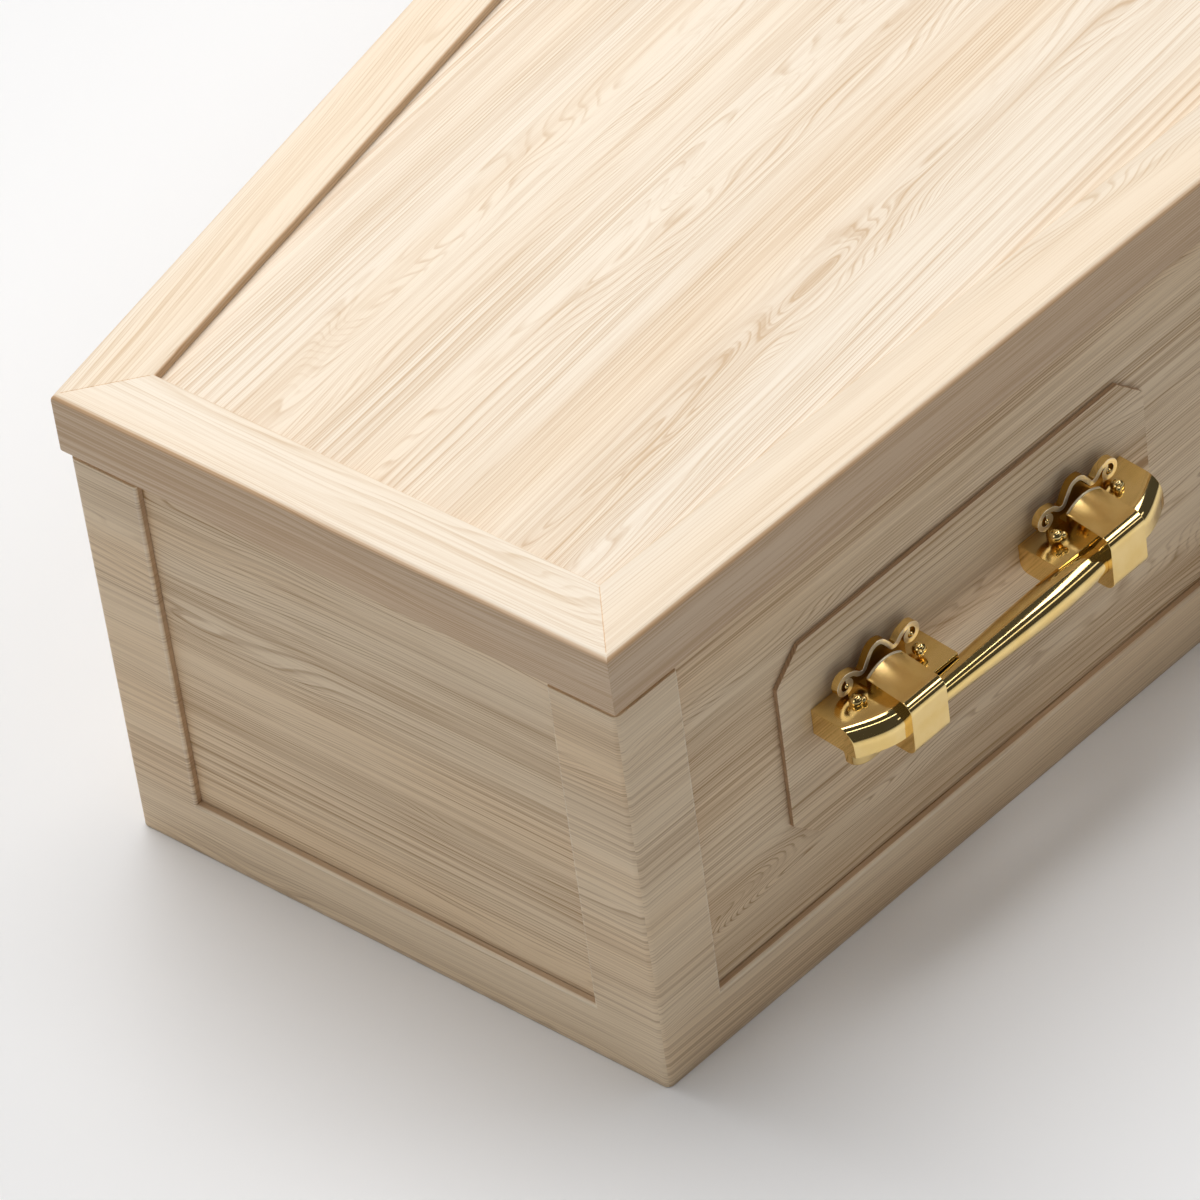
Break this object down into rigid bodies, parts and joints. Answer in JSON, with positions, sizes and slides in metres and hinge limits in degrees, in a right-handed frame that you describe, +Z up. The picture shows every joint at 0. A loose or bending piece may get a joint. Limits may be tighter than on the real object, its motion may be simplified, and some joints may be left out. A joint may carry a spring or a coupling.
{
  "type": "cardboard coffin",
  "caption": "Shouldered cardboard cremation coffin in wood-grain print, with framed sides, a lift-off lid with a raised border, and gilt bar handles on cut-corner plates",
  "frame": {"origin": "on the ground under the middle of the coffin", "axes": "+X from the foot end to the head end, +Z up, the right long side faces -Y"},
  "size_m": [1.93, 0.6926, 0.335],
  "materials": {
    "wood_grain_board": "satin wood-grain print on board",
    "plain_board": "matt unprinted brown board",
    "gilt": "polished gilt plating, satin on the flat tops"
  },
  "bodies": {
    "root": {"floor_board": "plain_board", "foot_board": "wood_grain_board", "foot_frame": "wood_grain_board", "head_board": "wood_grain_board", "head_frame": "wood_grain_board", "right_side_board": "wood_grain_board", "right_side_frame": "wood_grain_board", "left_side_board": "wood_grain_board", "left_side_frame": "wood_grain_board", "lid_panel": "wood_grain_board", "lid_foot_border": "wood_grain_board", "lid_head_border": "wood_grain_board", "lid_right_long_border": "wood_grain_board", "lid_right_shoulder_border": "wood_grain_board", "lid_left_long_border": "wood_grain_board", "lid_left_shoulder_border": "wood_grain_board", "lid_foot_rim": "wood_grain_board", "lid_head_rim": "wood_grain_board", "lid_right_long_rim": "wood_grain_board", "lid_right_shoulder_rim": "wood_grain_board", "lid_left_long_rim": "wood_grain_board", "lid_left_shoulder_rim": "wood_grain_board", "right_handle_1_plate": "wood_grain_board", "right_handle_2_plate": "wood_grain_board", "right_handle_3_plate": "wood_grain_board", "left_handle_1_plate": "wood_grain_board", "left_handle_2_plate": "wood_grain_board", "left_handle_3_plate": "wood_grain_board", "right_handle_1_bar": "gilt", "right_handle_1_foot_bracket": "gilt", "right_handle_1_head_bracket": "gilt", "right_handle_2_bar": "gilt", "right_handle_2_foot_bracket": "gilt", "right_handle_2_head_bracket": "gilt", "right_handle_3_bar": "gilt", "right_handle_3_foot_bracket": "gilt", "right_handle_3_head_bracket": "gilt", "left_handle_1_bar": "gilt", "left_handle_1_foot_bracket": "gilt", "left_handle_1_head_bracket": "gilt", "left_handle_2_bar": "gilt", "left_handle_2_foot_bracket": "gilt", "left_handle_2_head_bracket": "gilt", "left_handle_3_bar": "gilt", "left_handle_3_foot_bracket": "gilt", "left_handle_3_head_bracket": "gilt"}
  },
  "joints": []
}
